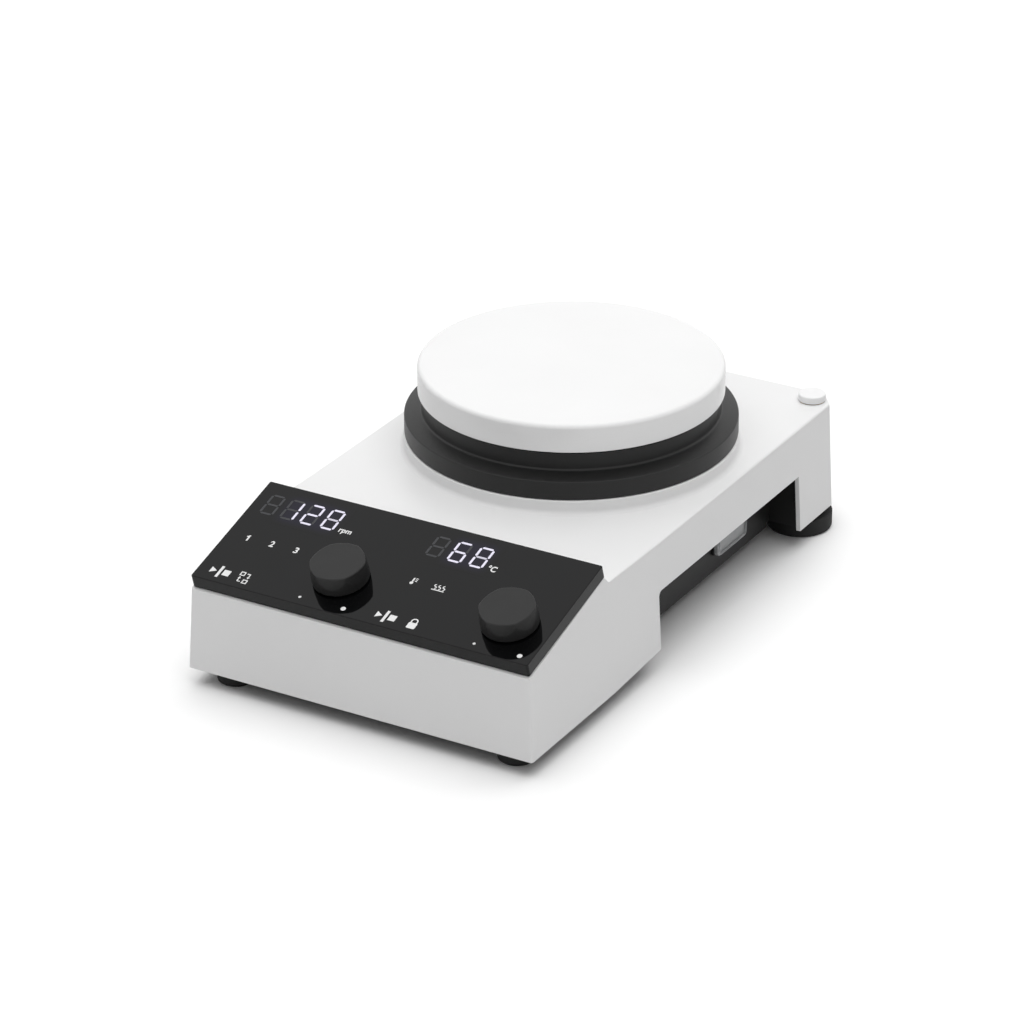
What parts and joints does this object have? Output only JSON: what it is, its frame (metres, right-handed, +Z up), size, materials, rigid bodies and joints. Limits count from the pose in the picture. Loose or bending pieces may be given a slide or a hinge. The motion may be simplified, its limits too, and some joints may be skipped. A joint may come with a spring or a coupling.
{
  "type": "hotplate stirrer",
  "caption": "Bench hotplate stirrer: a round heated plate over a magnet drive, with push-and-turn knobs and displays on a sloping panel, on rubber feet.",
  "frame": {"origin": "on the bench, at the middle of the housing's footprint", "axes": "+Z up, -Y towards the person at the controls, +X to their right, where the mains switch is"},
  "size_m": [0.1714, 0.28, 0.0985],
  "materials": {
    "white_paint": "satin white powder coat",
    "white_ceramic": "white ceramic coating on aluminium",
    "white_plastic": "satin",
    "black_plastic": "fine moulded texture",
    "black_panel": "high gloss",
    "knob_plastic": "satin",
    "black_rubber": "matt",
    "display_face": "dark tinted",
    "clear_cover": "translucent soft cover",
    "zinc_steel": "zinc plated",
    "bright_steel": "ground",
    "brass": "turned",
    "aluminium": "cast and machined",
    "magnet_coat": "nickel plated",
    "copper_winding": "enamelled copper wire",
    "core_steel": "dark steel",
    "board_green": "solder mask",
    "winding_tape": "taped winding",
    "fibre_white": "pressed fibre"
  },
  "bodies": {
    "instrument": {"upper_housing": "white_paint", "base_tray": "black_plastic", "control_panel": "black_panel", "display_board": "board_green", "speed_display": "display_face", "temperature_display": "display_face", "speed_encoder": "black_plastic", "speed_nut": "zinc_steel", "temperature_encoder": "black_plastic", "temperature_nut": "zinc_steel", "collar_ring": "black_plastic", "heating_plate": "white_ceramic", "heating_element": "zinc_steel", "insulation_disc": "fibre_white", "heat_shield": "bright_steel", "plate_standoff_1": "bright_steel", "plate_standoff_2": "bright_steel", "plate_standoff_3": "bright_steel", "plate_sensor": "bright_steel", "motor_bracket": "zinc_steel", "motor_can": "core_steel", "motor_end_cap": "aluminium", "motor_stator": "copper_winding", "lower_motor_bearing": "bright_steel", "upper_motor_bearing": "bright_steel", "power_board": "board_green", "transformer": "winding_tape", "capacitor": "core_steel", "heat_sink": "aluminium", "power_inlet": "black_plastic", "probe_socket": "bright_steel", "switch_frame": "black_plastic", "splash_cover": "clear_cover", "rod_insert": "brass", "foot_front_left": "black_rubber", "foot_front_right": "black_rubber", "foot_rear_left": "black_rubber", "foot_rear_right": "black_rubber", "foot_screw_front_left": "zinc_steel", "foot_screw_front_right": "zinc_steel", "foot_screw_rear_left": "zinc_steel", "foot_screw_rear_right": "zinc_steel", "housing_screw_front_left": "zinc_steel", "housing_screw_front_right": "zinc_steel", "housing_screw_rear_left": "zinc_steel", "housing_screw_rear_right": "zinc_steel"},
    "speed_push": {"speed_push_plate": "bright_steel"},
    "speed_control": {"speed_shaft": "bright_steel", "speed_knob": "knob_plastic"},
    "temperature_push": {"temperature_push_plate": "bright_steel"},
    "temperature_control": {"temperature_shaft": "bright_steel", "temperature_knob": "knob_plastic"},
    "stirring_drive": {"rotor_core": "core_steel", "motor_shaft": "bright_steel", "magnet_holder": "aluminium", "drive_magnet_left": "magnet_coat", "drive_magnet_right": "magnet_coat"},
    "switch_rocker": {"power_rocker": "black_plastic"},
    "socket_plug": {"rod_socket_plug": "white_plastic"},
    "fuse_carrier": {"fuse_drawer": "black_plastic"}
  },
  "joints": [
    {"name": "speed_knob_push", "type": "slide", "parent": "instrument", "child": "speed_push", "axis": [0, 0.2774, -0.9608], "range_m": [0, 0.0005], "stiffness_N_per_m": 2000},
    {"name": "speed_knob_turn", "type": "hinge", "parent": "speed_push", "child": "speed_control", "pos_m": [-0.01899, -0.11983, 0.05752], "axis": [0, -0.2774, 0.9608], "continuous": true},
    {"name": "temperature_knob_push", "type": "slide", "parent": "instrument", "child": "temperature_push", "axis": [0, 0.2774, -0.9608], "range_m": [0, 0.0005], "stiffness_N_per_m": 2000},
    {"name": "temperature_knob_turn", "type": "hinge", "parent": "temperature_push", "child": "temperature_control", "pos_m": [0.06243, -0.12002, 0.05747], "axis": [0, -0.2774, 0.9608], "continuous": true},
    {"name": "stirring_spin", "type": "hinge", "parent": "instrument", "child": "stirring_drive", "pos_m": [0, 0.0398, 0.0723], "axis": [0, 0, 1], "continuous": true},
    {"name": "mains_switch_rock", "type": "hinge", "parent": "instrument", "child": "switch_rocker", "pos_m": [0.0633, 0.0607, 0.0265], "axis": [0, 0, 1], "range_deg": [-14, 0]},
    {"name": "rod_plug_pull", "type": "slide", "parent": "instrument", "child": "socket_plug", "axis": [0, 0, 1], "range_m": [0, 0.012]},
    {"name": "fuse_drawer_pull", "type": "slide", "parent": "instrument", "child": "fuse_carrier", "axis": [0, 1, 0], "range_m": [0, 0.014]}
  ]
}
